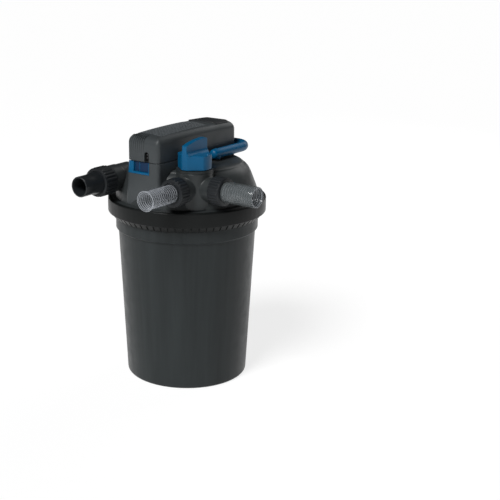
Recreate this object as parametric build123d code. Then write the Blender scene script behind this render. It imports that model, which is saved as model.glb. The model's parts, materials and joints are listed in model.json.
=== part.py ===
from build123d import *
import os
from math import cos, radians, sin

# A pressurised pond filter: a tapered container, a domed lid held by a clamp ring, a foam stack
# that is squeezed by a pull handle, a rotary valve with two outlets and a lift-off UV lamp head.
# Millimetres. Origin at the centre of the container's base, +Z up. The lamp head's long axis is Y,
# its latch faces -Y, and the rotary valve stands at +X, -Y.

# ---- driving dimensions ----
RING_R = 190.0                    # clamp ring, outer
BASE_R = 147.3                    # container at the floor
TAPER = 0.05                      # radius gained for each millimetre of height
WALL = 4.5
COLLAR_R = 171.5
COLLAR_Z = 370.0
RIM_Z = 424.0                     # top of the container
FLANGE_R = 183.5                  # lid flange, inside the clamp ring
FLANGE_Z = 446.0                  # top of the lid flange
DOME_TOP_Z = 531.0
SHELL = 4.0                       # lid and head wall
SEAM_Z = 550.0                    # top of the head base
HEAD_Z = 551.0                    # underside of the lamp head
HEAD_TOP_Z = 611.0
HEAD_FRONT_Y = -165.0
HEAD_REAR_Y = 140.0
PORT_Z = 494.0                    # height of all three hose ports
TAIL_R = 23.9                     # hose tails, for a 1 1/2 inch hose
TAIL_BORE_R = 20.5
VALVE_X = 94.0
VALVE_Y = -94.0
VALVE_R = 42.5
INLET_X = -110.0
INLET_INNER_Y = -85.0             # the inlet port's inner end, under the dome
INLET_FACE_Y = -191.0
ROD_X = 68.0                      # lift rods, one each side of the head
ROD_Y = 25.0
ROD_R = 4.0
FOAM_R = 138.0
FOAM_TOP_Z = 400.0
FOAM_BASE_Z = 70.0
TUBE_R = 41.0                     # perforated centre tube
SLEEVE_R = 15.0                   # quartz sleeve
CLAMP_DEG = 135.0                 # where the clamp ring closes, on the far side from the valve
RUN = 0.05                        # radial running clearance of a pin or shaft
GAP = 0.3                         # clearance between curved faces of different bodies

LOW = (Align.CENTER, Align.CENTER, Align.MIN)
DOWN_THE_FRONT = ((1, 0, 0), (0, -1, 0))       # x_dir and z_dir of a port that faces -Y
TO_THE_RIGHT = ((0, 1, 0), (1, 0, 0))          # and of one that faces +X


# ---- helpers ----
def disc(r, z0, z1, x=0.0, y=0.0):
    return Pos(x, y, z0) * Cylinder(r, z1 - z0, align=LOW)


def ring(r_out, r_in, z0, z1, x=0.0, y=0.0):
    return disc(r_out, z0, z1, x, y) - disc(r_in, z0 - 1, z1 + 1, x, y)


def slab(x0, x1, y0, y1, z0, z1):
    return Pos((x0 + x1) / 2, (y0 + y1) / 2, (z0 + z1) / 2) * Box(x1 - x0, y1 - y0, z1 - z0)


def turned(*points):
    """Solid of revolution about Z from an outline of (radius, height) points."""
    outline = Polyline(*points, close=True)
    return revolve(Plane.XZ * make_face(outline), axis=Axis.Z)


def placed(shape, x, y, z, facing):
    """Puts a shape made along +Z at a port, so that its Z runs outwards."""
    x_dir, z_dir = facing
    return Plane(origin=(x, y, z), x_dir=x_dir, z_dir=z_dir) * shape


def around(make, angles):
    """The same piece at several angles about Z."""
    return [Rot(0, 0, angle) * make for angle in angles]


def solids_of(*shapes):
    """Several loose solids kept in one node."""
    return Compound(children=[s for shape in shapes for s in shape.solids()])


# ---- container ----
def container_radius(z):
    return BASE_R + TAPER * z


def make_container_bucket():
    foot = 6.0
    step = COLLAR_R - container_radius(COLLAR_Z)
    outer = turned(
        (0, 0), (BASE_R - foot, 0), (BASE_R, foot),
        (container_radius(COLLAR_Z - step), COLLAR_Z - step), (COLLAR_R, COLLAR_Z),
        (COLLAR_R, RIM_Z), (0, RIM_Z))
    inner = turned(
        (0, 8), (BASE_R - 10, 8), (container_radius(16) - WALL, 16),
        (container_radius(COLLAR_Z) - WALL, COLLAR_Z), (container_radius(COLLAR_Z) - WALL, RIM_Z + 1),
        (0, RIM_Z + 1))
    return outer - inner


# ---- lid ----
def dome_face(inset=0.0):
    """Half section of the lid's dome: a wall that leans in, then rounds over into a flat top."""
    top = DOME_TOP_Z - inset
    foot = (171.5 - inset, FLANGE_Z)
    wall = Spline(foot, (167.0 - inset, 465.0), (158.5 - inset, 487.0), (151.5 - inset, 505.5),
                  (143.5 - inset, 517.5), (131.5 - inset, 527.5 - inset / 2), (112.0, top),
                  tangents=((-0.15, 1), (-1, 0)))
    crown = Polyline((112.0, top), (0, top), (0, FLANGE_Z), foot)
    return Plane.XZ * make_face([wall] + crown.edges())


def make_dome_solid(inset=0.0):
    front = slab(-200.0, 200.0, HEAD_FRONT_Y - 1.0, 200.0, 400.0, 600.0)
    return revolve(dome_face(inset), axis=Axis.Z) & front


def valve_bodies():
    """The valve's tower and its two ports, as plain outer solids."""
    port = Cylinder(VALVE_PORT_R, OUTLET_FACE, align=LOW)
    tower = disc(VALVE_R, FLANGE_Z, 531.0, VALVE_X, VALVE_Y)
    return (tower + placed(port, VALVE_X, VALVE_Y, PORT_Z, DOWN_THE_FRONT)
            + placed(port, VALVE_X, VALVE_Y, PORT_Z, TO_THE_RIGHT))


def inlet_outer():
    reach = INLET_INNER_Y - INLET_FACE_Y
    return placed(Cylinder(INLET_PORT_R, reach, align=LOW), INLET_X, INLET_INNER_Y, PORT_Z, DOWN_THE_FRONT)


def make_lid_dome():
    flange = turned((150.0, 440.0), (164.0, 427.0), (FLANGE_R, 427.0), (FLANGE_R, 444.0),
                    (182.0, FLANGE_Z), (150.0, FLANGE_Z))
    shell = make_dome_solid() - make_dome_solid(SHELL)
    dome = shell + (flange - disc(160.0, 420.0, 450.0))
    dome -= disc(46.0, 500.0, 540.0)
    for side in (-1, 1):
        dome -= disc(8.0, 500.0, 540.0, side * ROD_X, ROD_Y)
    return dome - valve_bodies() - inlet_outer()


def make_inlet_port():
    bore = placed(Cylinder(24.0, 200.0, align=LOW), INLET_X, INLET_INNER_Y + 10, PORT_Z, DOWN_THE_FRONT)
    bored = inlet_outer() - bore
    sleeve = placed(Cylinder(31.8, 30.0, align=LOW) - Cylinder(INLET_PORT_R, 30.0, align=LOW),
                    INLET_X, -130.0, PORT_Z, DOWN_THE_FRONT)
    return bored + (sleeve - make_dome_solid())


def make_valve_housing():
    bore = Cylinder(20.0, 100.0, align=LOW)
    body = valve_bodies() - disc(31.0, 455.0, 540.0, VALVE_X, VALVE_Y)
    body -= disc(20.0, 440.0, 460.0, VALVE_X, VALVE_Y)
    body -= placed(bore, VALVE_X, VALVE_Y, PORT_Z, DOWN_THE_FRONT)
    body -= placed(bore, VALVE_X, VALVE_Y, PORT_Z, TO_THE_RIGHT)
    for x, y in screw_places():
        body -= disc(1.6, 518.0, 540.0, x, y)
    return body


def screw_places():
    """Four screws that hold the valve's cap."""
    return [(VALVE_X + 36.5 * cos(radians(a)), VALVE_Y + 36.5 * sin(radians(a))) for a in (0, 90, 180, 270)]


def make_valve_cap():
    cap = disc(VALVE_R, 531.0, 537.0, VALVE_X, VALVE_Y) - disc(9.0 + RUN, 530.0, 538.0, VALVE_X, VALVE_Y)
    for x, y in screw_places():
        cap -= disc(1.6, 530.0, 538.0, x, y) + disc(3.4, 534.0, 538.0, x, y)
    return cap


def make_valve_cap_screws():
    screws = [disc(1.6, 520.0, 534.0, x, y) + disc(3.4, 534.0, 537.0, x, y) for x, y in screw_places()]
    return solids_of(*screws)


# ---- head base and lamp head: both follow one bowed plan ----
def plan_face(inset=0.0, spread=0.0, corner=10.0):
    """Plan of the head: narrow at the latch end, bowed sides, well rounded rear corners."""
    front = HEAD_FRONT_Y + inset - spread / 2
    rear = HEAD_REAR_Y - inset + spread / 2
    half_front = 45.0 - inset + spread
    half_middle = 51.5 - inset + spread * 0.4
    half_rear = 50.0 - inset + spread * 0.4
    right = ThreePointArc((half_front, front), (half_middle, -20.0), (half_rear, rear))
    left = ThreePointArc((-half_rear, rear), (-half_middle, -20.0), (-half_front, front))
    sides = [Line((-half_front, front), (half_front, front)), right,
             Line((half_rear, rear), (-half_rear, rear)), left]
    face = make_face(sides)
    face = fillet(face.vertices().filter_by(lambda v: v.Y < 0), corner - inset)
    return fillet(face.vertices().sort_by(Axis.Y)[-2:], 28.0 - inset)


def base_block(inset=0.0):
    low = Pos(0, 0, 440.0) * plan_face(inset, 6.0, 6.5)
    high = Pos(0, 0, SEAM_Z) * plan_face(inset, 0.0, 10.0)
    return loft([low, high])


LATCH_X0, LATCH_X1 = -44.5, 18.0
LATCH_Z0, LATCH_Z1 = 521.5, 549.5


def make_head_base():
    pocket_wall = 3.0
    shell = base_block() - (base_block(SHELL) - slab(-80, 80, -200, 200, SEAM_Z - 4.0, SEAM_Z + 1))
    box = slab(-60.0, LATCH_X1 + pocket_wall, -180.0, -140.0, LATCH_Z0 - pocket_wall, SEAM_Z)
    shell += box & base_block()
    shell -= slab(-60.0, LATCH_X1 + 0.4, -180.0, -143.0, LATCH_Z0 - 0.4, SEAM_Z + 1)
    for x in (-28.0, 4.0):
        shell -= Pos(x, -150.0, 536.0) * Rot(90, 0, 0) * Cylinder(2.5, 40.0)
    shell -= disc(36.5, 530.0, 560.0)
    shell -= slab(-200, 200, -300, 300, 400.0, FLANGE_Z)
    return shell - make_dome_solid() - disc(VALVE_R, 440.0, 560.0, VALVE_X, VALVE_Y)


def make_latch_button():
    plate = slab(LATCH_X0, LATCH_X1, -175.0, -160.0, LATCH_Z0, LATCH_Z1) & base_block()
    back = slab(LATCH_X0 + 6.0, LATCH_X1 - 1.0, -160.0, -154.0, LATCH_Z0 + 1.0, LATCH_Z1 - 2.0)
    tongue = slab(-22.0, -6.0, -159.0, -155.0, LATCH_Z1 - 3.0, 558.0)
    window = slab(-27.0, LATCH_X1 - 1.5, -175.0, -160.0, LATCH_Z0 + 4.5, LATCH_Z1 + 1)
    body = plate - window + back + tongue
    for x in (-28.0, 4.0):
        body += Pos(x, -147.0, 536.0) * Rot(90, 0, 0) * Cylinder(2.4, 16.0)
    return body


def make_latch_springs():
    """Two return springs at their pressed length, each as three joined turns round its stem."""
    turns = []
    for x in (-28.0, 4.0):
        coil = None
        for turn in range(3):
            y = -153.4 + 1.7 * turn
            loop = Pos(x, y, 536.0) * Rot(90, 0, 0) * Torus(4.2, 0.6)
            coil = loop if coil is None else coil + loop
        coil += slab(x + 3.8, x + 4.6, -153.4, -150.0, 535.5, 536.5)
        turns.append(coil)
    return solids_of(*turns)


def crown(top, radius=196.0):
    """Long shallow barrel that gives the head's top its crossways crown."""
    return Pos(0, 0, top - radius) * Rot(90, 0, 0) * Cylinder(radius, 700.0)


def head_block(inset=0.0, foot=HEAD_Z):
    top = HEAD_TOP_Z - inset
    front = HEAD_FRONT_Y + inset
    rear = HEAD_REAR_Y - inset
    tall = Pos(0, 0, foot) * extrude(plan_face(inset), amount=top + 5.0 - foot)
    side = make_face(Polyline((front, foot), (front, top), (rear, top), (rear, foot), close=True))
    side = fillet(side.vertices().sort_by(Axis.Y)[-2:], 18.0)
    # The plane's first axis is +Y and its second +Z, so the outline stands up along the head.
    upright = extrude(Plane.YZ * side, amount=90.0, both=True)
    return tall & crown(top, 196.0) & upright


def make_head_cover():
    outer = head_block()
    shoulders = outer.edges().filter_by(lambda e: e.length > 200 and e.center().Z > 590)
    try:
        outer = fillet(shoulders, 8.0)
    except Exception:
        outer = chamfer(shoulders, 3.0)
    cover = outer - head_block(SHELL, HEAD_Z + 4.2)
    cover -= slab(-200, 200, -300, 300, HEAD_Z - 1, HEAD_Z + 4.2) & extrude(
        Pos(0, 0, HEAD_Z - 1) * plan_face(SHELL), amount=6.0)
    slot = slab(5.0, 18.0, -180.0, -158.0, 551.0, 568.0)
    slot += Pos(11.5, -169.0, 568.0) * Rot(90, 0, 0) * Cylinder(6.5, 22.0)
    return cover - slot - Pos(-50.0, -60.0, 578.0) * Rot(0, 90, 0) * Cylinder(6.0, 30.0)


def make_indicator_window():
    pane = slab(3.0, 20.0, -160.9, -158.9, 556.0, 578.0)
    for z in (562.0, 569.0):
        pane += Pos(11.5, -161.4, z) * Rot(90, 0, 0) * Cylinder(2.0, 1.4)
    return pane


def make_top_grip_panel():
    """Thin textured panel let on to the front of the head's crown."""
    stripe = slab(-35.0, 35.0, -140.0, 28.0, 590.0, 630.0)
    return (crown(HEAD_TOP_Z + 1.0, 197.0) - crown(HEAD_TOP_Z)) & stripe


def make_rear_cover_plate():
    """Raised service plate at the rear of the crown, with rounded corners."""
    outline = extrude(Pos(0, 98.0, 590.0) * RectangleRounded(74.0, 60.0, 18.0), amount=40.0)
    plate = (crown(HEAD_TOP_Z + 4.0, 200.0) - crown(HEAD_TOP_Z)) & outline
    return plate & slab(-60, 60, 66.0, 124.0, 590.0, 640.0)


def make_head_chassis():
    plate = extrude(Pos(0, 0, HEAD_Z) * plan_face(SHELL + 0.2), amount=4.0)
    plate += ring(36.0, 27.5, 533.0, HEAD_Z)
    plate -= disc(18.0, 500.0, 600.0)
    plate -= slab(-24.0, -4.0, -161.0, -148.0, 540.0, 560.0)
    plate -= slab(3.0, 20.0, -170.0, -160.0, 540.0, 560.0)
    for x, y in head_screw_places():
        plate -= disc(1.8, 540.0, 560.0, x, y)
    return plate


def head_screw_places():
    return [(side * 36.0, y) for side in (-1, 1) for y in (-130.0, 100.0)]


def make_head_screws():
    return solids_of(*[disc(1.8, 551.2, 566.0, x, y) for x, y in head_screw_places()])


def make_ballast():
    block = slab(-22.0, 22.0, -130.0, -55.0, 558.0, 588.0)
    feet = slab(-30.0, 30.0, -126.0, -118.0, 555.0, 558.0) + slab(-30.0, 30.0, -67.0, -59.0, 555.0, 558.0)
    return block + feet


def make_circuit_board():
    board = slab(-30.0, 30.0, 45.0, 100.0, 563.0, 564.6)
    for x, y, size, height in ((-14.0, 60.0, 12.0, 14.0), (10.0, 62.0, 9.0, 10.0), (12.0, 84.0, 14.0, 8.0)):
        board += slab(x - size / 2, x + size / 2, y - size / 2, y + size / 2, 564.6, 564.6 + height)
    for x in (-26.0, 26.0):
        for y in (49.0, 96.0):
            board += disc(2.0, 555.0, 563.0, x, y)
    return board


def make_terminal_block():
    block = slab(-34.0, -18.0, -48.0, -12.0, 555.0, 570.0)
    for y in (-41.0, -30.0, -19.0):
        block -= disc(2.6, 562.0, 571.0, -26.0, y)
    return block


def make_cable_gland():
    """Gland for the mains lead, on the head's left side."""
    centre = (-50.0, -60.0, 578.0)
    body = Pos(*centre) * Rot(0, -90, 0) * Cylinder(5.9, 20.0)
    collar = Pos(-54.3, -60.0, 578.0) * Rot(0, -90, 0) * Cylinder(9.0, 4.0)
    dome = Pos(-60.0, -60.0, 578.0) * Rot(0, -90, 0) * Cylinder(7.0, 10.0)
    wrap = slab(-52.4, -40.0, -75.0, -45.0, 560.0, 595.0) & head_block()
    return (body + collar - wrap + (body & head_block(SHELL)) + (body & wrap) + dome
            - Pos(-55.0, -60.0, 578.0) * Rot(0, -90, 0) * Cylinder(3.5, 60.0))


# ---- lamp ----
def make_quartz_sleeve():
    return (disc(SLEEVE_R, 160.0, 549.0) + Pos(0, 0, 160.0) * Sphere(SLEEVE_R)
            - disc(SLEEVE_R - 1.5, 160.0, 550.0) - Pos(0, 0, 160.0) * Sphere(SLEEVE_R - 1.5))


def make_uvc_lamp():
    """Twin-tube lamp in its base."""
    lamp = disc(11.5, 500.0, 540.0)
    for x in (-5.8, 5.8):
        lamp += disc(4.8, 182.0, 501.0, x, 0)
        lamp += Pos(x, 0, 182.0) * Sphere(4.8)
    lamp += Pos(0, 0, 190.0) * Rot(0, 90, 0) * Cylinder(2.2, 8.0)
    return lamp


def make_lamp_socket():
    return disc(12.5, 540.0, 556.0) + disc(16.0, 556.0, 568.0)


def make_sleeve_nut():
    nut = ring(24.5, SLEEVE_R + 0.2, 526.0, 536.0)
    nut += ring(24.5, 21.0, 536.0, 545.0)
    for part in around(Pos(25.2, 0, 531.0) * Box(3.0, 5.0, 9.0), range(0, 360, 45)):
        nut += part
    return nut - disc(SLEEVE_R + 0.2, 500.0, 540.0)


def make_sleeve_seal():
    return ring(20.8, SLEEVE_R, 536.2, 540.0)


def make_head_seal():
    return ring(40.0, 36.6, 541.0, 545.8)


# ---- foam stack ----
def make_centre_tube():
    tube = ring(TUBE_R, TUBE_R - 3.0, 56.0, 527.0) + ring(46.0, TUBE_R - 3.0, 519.0, 531.0)
    tube += ring(60.0, TUBE_R - 3.0, 519.0, 526.5)
    rows = range(90, 390, 30)
    for index, z in enumerate(rows):
        for k in range(3):
            slot = Pos(0, 0, z) * Rot(0, 0, 60.0 * k + 30.0 * (index % 2)) * Box(120.0, 9.0, 16.0)
            tube -= slot
    return tube


def rod_holes(r, z0, z1):
    return disc(r, z0, z1, ROD_X, ROD_Y) + disc(r, z0, z1, -ROD_X, ROD_Y)


def make_foams(first, last):
    """Foam discs of one grade; each is a separate ring and a hair apart from the next."""
    pitch = (FOAM_TOP_Z - FOAM_BASE_Z) / 6
    rings = []
    for k in range(first, last):
        low = FOAM_BASE_Z + pitch * k + 0.4
        rings.append(ring(FOAM_R, TUBE_R + 0.8, low, low + pitch - 0.8) - rod_holes(ROD_R + 1.0, 0, 500))
    return solids_of(*rings)


def make_foam_top_plate():
    plate = ring(FOAM_R + 2.0, TUBE_R, FOAM_TOP_Z + 0.5, FOAM_TOP_Z + 6.5)
    for part in around(Pos(95.0, 0, FOAM_TOP_Z + 3.0) * Box(50.0, 22.0, 20.0), range(0, 360, 45)):
        plate -= part
    bosses = disc(11.0, FOAM_TOP_Z + 0.5, FOAM_TOP_Z + 12.0, ROD_X, ROD_Y)
    bosses += disc(11.0, FOAM_TOP_Z + 0.5, FOAM_TOP_Z + 12.0, -ROD_X, ROD_Y)
    return plate + bosses - rod_holes(ROD_R + GAP, 300.0, 500.0)


def make_press_plate():
    plate = ring(FOAM_R - 2.0, TUBE_R + 1.0, 62.0, FOAM_BASE_Z)
    for part in around(Pos(95.0, 0, 66.0) * Box(50.0, 22.0, 20.0), range(0, 360, 45)):
        plate -= part
    bosses = disc(11.0, 56.0, FOAM_BASE_Z, ROD_X, ROD_Y) + disc(11.0, 56.0, FOAM_BASE_Z, -ROD_X, ROD_Y)
    return plate + bosses - disc(TUBE_R + 1.0, 40.0, 90.0) - rod_holes(ROD_R, 40.0, 90.0)


# ---- pull handle ----
def make_pull_rods():
    return solids_of(*[disc(ROD_R, 44.0, HANDLE_Z, side * ROD_X, ROD_Y) for side in (-1, 1)])


def make_rod_nuts():
    nut = extrude(RegularPolygon(8.0, 6), amount=6.0)
    nuts = [Pos(side * ROD_X, ROD_Y, 50.0) * nut - disc(ROD_R, 40.0, 70.0, side * ROD_X, ROD_Y) for side in (-1, 1)]
    return solids_of(*nuts)


def make_rod_guides():
    guides = []
    for side in (-1, 1):
        x = side * ROD_X
        guide = disc(8.0, 519.0, DOME_TOP_Z, x, ROD_Y) + disc(9.8, DOME_TOP_Z, 533.5, x, ROD_Y)
        guides.append(guide - disc(ROD_R + RUN, 500.0, 550.0, x, ROD_Y))
    return solids_of(*guides)


def make_rod_seals():
    seals = [ring(8.0, ROD_R + RUN, 533.5, 535.5, side * ROD_X, ROD_Y) for side in (-1, 1)]
    return solids_of(*seals)


HANDLE_R = 12.0
HANDLE_Z = 549.0
HANDLE_REAR_Y = 164.0
HANDLE_BEND = 38.0


def make_pull_handle():
    """U-shaped bar round the rear of the head, with a boss on each lift rod."""
    path = FilletPolyline((-ROD_X, ROD_Y - 8.0, HANDLE_Z), (-ROD_X, HANDLE_REAR_Y, HANDLE_Z),
                          (ROD_X, HANDLE_REAR_Y, HANDLE_Z), (ROD_X, ROD_Y - 8.0, HANDLE_Z), radius=HANDLE_BEND)
    section = Plane(origin=path @ 0, z_dir=path % 0) * Circle(HANDLE_R)
    bar = sweep(section, path=path)
    for side in (-1, 1):
        x = side * ROD_X
        bar += Pos(x, ROD_Y - 8.0, HANDLE_Z) * Sphere(HANDLE_R)
        bar += disc(11.0, 536.0, HANDLE_Z, x, ROD_Y)
        bar -= disc(ROD_R, 530.0, HANDLE_Z, x, ROD_Y)
        bar -= disc(2.0, HANDLE_Z - 6.0, HANDLE_Z + 14.0, x, ROD_Y)
        bar -= disc(4.2, HANDLE_Z + 6.0, HANDLE_Z + 14.0, x, ROD_Y)
    return bar


def make_handle_screws():
    screws = []
    for side in (-1, 1):
        x = side * ROD_X
        screws.append(disc(2.0, HANDLE_Z, HANDLE_Z + 6.0, x, ROD_Y)
                      + disc(4.2, HANDLE_Z + 6.0, HANDLE_Z + 8.5, x, ROD_Y))
    return solids_of(*screws)


# ---- rotary valve ----
def make_valve_plug():
    plug = disc(30.5, 456.0, 530.0, VALVE_X, VALVE_Y) + disc(9.0, 530.0, 563.0, VALVE_X, VALVE_Y)
    plug -= disc(19.0, 450.0, PORT_Z + 12.0, VALVE_X, VALVE_Y)
    plug -= placed(Cylinder(19.0, 60.0, align=LOW), VALVE_X, VALVE_Y, PORT_Z, TO_THE_RIGHT)
    for z in (459.0, 524.0):
        plug -= ring(32.0, 28.0, z, z + 3.0, VALVE_X, VALVE_Y)
    return plug - Pos(VALVE_X, VALVE_Y, 550.0) * Rot(90, 0, 0) * Cylinder(2.0, 60.0)


def make_plug_seals():
    return solids_of(*[ring(30.9, 28.0, z, z + 3.0, VALVE_X, VALVE_Y) for z in (459.0, 524.0)])


KNOB_R = 39.5
KNOB_FOOT_Z = 538.0
KNOB_DISC_Z = 571.0
KNOB_SCOOP = 10.0                 # radius of the hollow between the fin and the disc
FIN_HALF = 6.3


def make_rotary_knob():
    """Round knob with a full-width grip fin; both sides of the fin scoop down into the disc."""
    waist = FIN_HALF + KNOB_SCOOP
    hollow = KNOB_SCOOP * (1 - cos(radians(45)))
    right = [Line((FIN_HALF, 604.0), (FIN_HALF, KNOB_DISC_Z + KNOB_SCOOP)),
             ThreePointArc((FIN_HALF, KNOB_DISC_Z + KNOB_SCOOP), (FIN_HALF + hollow, KNOB_DISC_Z + hollow),
                           (waist, KNOB_DISC_Z)),
             Line((waist, KNOB_DISC_Z), (KNOB_R + 1, KNOB_DISC_Z)),
             Line((KNOB_R + 1, KNOB_DISC_Z), (KNOB_R + 1, KNOB_FOOT_Z)),
             Line((KNOB_R + 1, KNOB_FOOT_Z), (0, KNOB_FOOT_Z)),
             Line((0, KNOB_FOOT_Z), (0, 604.0)), Line((0, 604.0), (FIN_HALF, 604.0))]
    half = make_face(right)
    section = Plane.XZ * (half + mirror(half, about=Plane.YZ))
    long = extrude(section, amount=60.0, both=True)
    top = make_face([ThreePointArc((-41.0, 592.5), (-6.0, 601.0), (31.0, 603.5)),
                     ThreePointArc((31.0, 603.5), (37.5, 601.5), (41.0, 597.0)),
                     Line((41.0, 597.0), (41.0, 530.0)), Line((41.0, 530.0), (-41.0, 530.0)),
                     Line((-41.0, 530.0), (-41.0, 592.5))])
    long &= extrude(Plane.YZ * top, amount=60.0, both=True)
    knob = long & disc(KNOB_R, KNOB_FOOT_Z, 610.0)
    for angle in (-50.7, -129.3, 50.7, 129.3):
        flat = Rot(0, 0, angle) * (Pos(KNOB_R - 4.5 + 20.0, 0, 540.0) * Box(40.0, 80.0, 2 * (KNOB_DISC_Z - 540.0)))
        knob -= flat
    knob += Pos(KNOB_R - 2.5, 0, KNOB_DISC_Z) * Sphere(3.6) & disc(KNOB_R, 530.0, 590.0)
    knob -= disc(9.0, 530.0, 563.0)
    knob -= disc(33.0, 530.0, 545.0) - disc(15.0, 530.0, 546.0)
    knob -= Pos(0, 0, 550.0) * Rot(90, 0, 0) * Cylinder(2.0, 32.0)
    return Pos(VALVE_X, VALVE_Y, 0) * knob


def make_knob_pin():
    return Pos(VALVE_X, VALVE_Y, 550.0) * Rot(90, 0, 0) * Cylinder(2.0, 31.0)


# ---- unions: port face at 0, everything else measured outwards from it ----
SEAL_T = 3.0
COLLAR_T = 5.0
LIP_T = 3.7
NECK_END = 14.0                   # the tail is a little slimmer up to here, inside the nut's lip


def union_nut(port_r, outer_r, length, lip_r=TAIL_R + 0.5):
    front = SEAL_T + COLLAR_T + GAP + LIP_T
    nut = Pos(0, 0, front - length) * Cylinder(outer_r - 2.0, length, align=LOW)
    rib = Pos(outer_r - 2.0, 0, front - length / 2) * Box(4.0, 3.0, length - 3.0)
    for part in around(rib, [15.0 * k for k in range(24)]):
        nut += part
    nut -= Pos(0, 0, front - length - 1) * Cylinder(port_r + GAP, length - LIP_T + 1, align=LOW)
    return nut - Cylinder(lip_r, 60.0, align=LOW)


def gasket(port_r):
    return Cylinder(port_r - 1.0, SEAL_T, align=LOW) - Cylinder(TAIL_BORE_R, SEAL_T, align=LOW)


def hose_tail(reach):
    """Plain-ended clear hose tail with a captive collar and a ribbed bore."""
    tail = Pos(0, 0, SEAL_T) * Cylinder(VALVE_PORT_R - 0.6, COLLAR_T, align=LOW)
    tail += Pos(0, 0, SEAL_T) * Cylinder(TAIL_R - 0.3, NECK_END - SEAL_T, align=LOW)
    tail += Pos(0, 0, NECK_END) * Cylinder(TAIL_R, reach - NECK_END, align=LOW)
    tail -= Cylinder(TAIL_BORE_R, reach + 1, align=LOW)
    for k in range(BORE_RIBS):
        rib = Cylinder(TAIL_BORE_R + 0.1, 2.4, align=LOW) - Cylinder(TAIL_BORE_R - 1.2, 2.4, align=LOW)
        tail += Pos(0, 0, 14.0 + 8.0 * k) * rib
    return tail


def inlet_nozzle():
    """Hose tail whose shoulder tapers smoothly from the nut down to the hose's size."""
    outline = ((TAIL_BORE_R, SEAL_T), (INLET_PORT_R - 0.6, SEAL_T), (INLET_PORT_R - 0.6, SEAL_T + COLLAR_T),
               (NOZZLE_R, SEAL_T + COLLAR_T), (NOZZLE_R, NOZZLE_LIP), (TAIL_R, NOZZLE_END),
               (TAIL_R, INLET_REACH), (TAIL_BORE_R, INLET_REACH))
    return turned(*outline)


NOZZLE_R = 27.4                   # the inlet nozzle's shoulder, at the nut
NOZZLE_LIP = 12.5
NOZZLE_END = 36.0
OUTLET_FACE = 77.0                # from the valve's axis to the face of either outlet port
VALVE_PORT_R = 28.0
INLET_PORT_R = 30.5
DRAIN_REACH = 99.0
OUTLET_REACH = 95.0
BORE_RIBS = 9
INLET_REACH = 68.0


def at_outlet(shape):
    return placed(shape, VALVE_X + OUTLET_FACE, VALVE_Y, PORT_Z, TO_THE_RIGHT)


def at_drain(shape):
    return placed(shape, VALVE_X, VALVE_Y - OUTLET_FACE, PORT_Z, DOWN_THE_FRONT)


def at_inlet(shape):
    return placed(shape, INLET_X, INLET_FACE_Y, PORT_Z, DOWN_THE_FRONT)


# ---- seal, clamp ring and its lever ----
def make_lid_seal():
    return ring(FLANGE_R - 14.0, 165.5, RIM_Z, 427.0)


# The closure is drawn with the ring's gap at +X, then turned to its place. Its X is the distance
# from the filter's axis and its Y runs along the ring.
PIVOT_X, PIVOT_Y = 201.0, 16.0
LINK_X, LINK_Y = 211.0, 32.0
HOOK_X, HOOK_Y = 202.0, -16.0
PIN_R = 3.0
EARS_Z = ((413.0, 417.5), (438.5, 443.0))


def at_closure(shape):
    return Rot(0, 0, CLAMP_DEG) * shape


def make_clamp_ring():
    wall = turned(
        (184.2, 445.5), (186.5, 445.5), (189.0, 443.8), (RING_R, 441.0), (RING_R, 411.0),
        (174.0, 395.5), (172.4, 395.5), (172.4, 400.0), (184.2, 417.0))
    wall -= slab(150.0, 220.0, -5.0, 5.0, 380.0, 450.0)
    for x, y in ((PIVOT_X, PIVOT_Y), (HOOK_X, HOOK_Y)):
        for z0, z1 in EARS_Z:
            ear = disc(6.0, z0, z1, x, y) + slab(185.0, x, y - 6.0, y + 6.0, z0, z1)
            wall += ear - disc(187.0, z0 - 1, z1 + 1)
        wall -= disc(PIN_R, 400.0, 460.0, x, y)
    return at_closure(wall)


def make_clamp_pins():
    pins = [disc(PIN_R, 413.0, 443.0, x, y) for x, y in ((PIVOT_X, PIVOT_Y), (HOOK_X, HOOK_Y))]
    return at_closure(solids_of(*pins))


def make_clamp_lever():
    """Curved lever that lies along the ring and swings outwards about its pin."""
    low, high = 418.2, 437.8
    reach = make_face(Polyline((0, 0), (300.0 * cos(radians(9.5)), 300.0 * sin(radians(9.5))),
                               (300.0 * cos(radians(36)), 300.0 * sin(radians(36))), close=True))
    arm = ring(204.0, 197.0, low, high) & extrude(Pos(0, 0, low - 1) * reach, amount=high - low + 2)
    tip = Rot(0, 0, 36) * Pos(200.5, 0, 0) * disc(5.5, low, high)
    hub = disc(6.0, low, high, PIVOT_X, PIVOT_Y) + slab(198.0, 206.0, PIVOT_Y, 40.0, low, high)
    cheek = disc(5.5, low, high, LINK_X, LINK_Y) + slab(200.0, LINK_X, 27.0, 37.5, low, high)
    lever = arm + tip + hub + cheek - disc(190.6, low - 1, high + 1)
    lever -= slab(204.6, 230.0, -30.0, 60.0, 423.2, 432.8)
    lever -= disc(PIN_R + RUN, 400.0, 450.0, PIVOT_X, PIVOT_Y)
    return at_closure(lever - disc(2.5, 400.0, 450.0, LINK_X, LINK_Y))


def make_lever_pin():
    return at_closure(disc(2.5, 418.2, 437.8, LINK_X, LINK_Y))


def make_clamp_link():
    """Link that hooks over the far pin and draws the ring's ends together."""
    low, high = 423.6, 432.4
    bar = disc(4.5, low, high, LINK_X, LINK_Y) + slab(206.6, 213.0, -24.0, LINK_Y, low, high)
    finger = slab(199.0, 210.0, -25.5, -19.4, low, high)
    return at_closure(bar + finger - disc(2.5 + RUN, 400.0, 450.0, LINK_X, LINK_Y))


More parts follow.
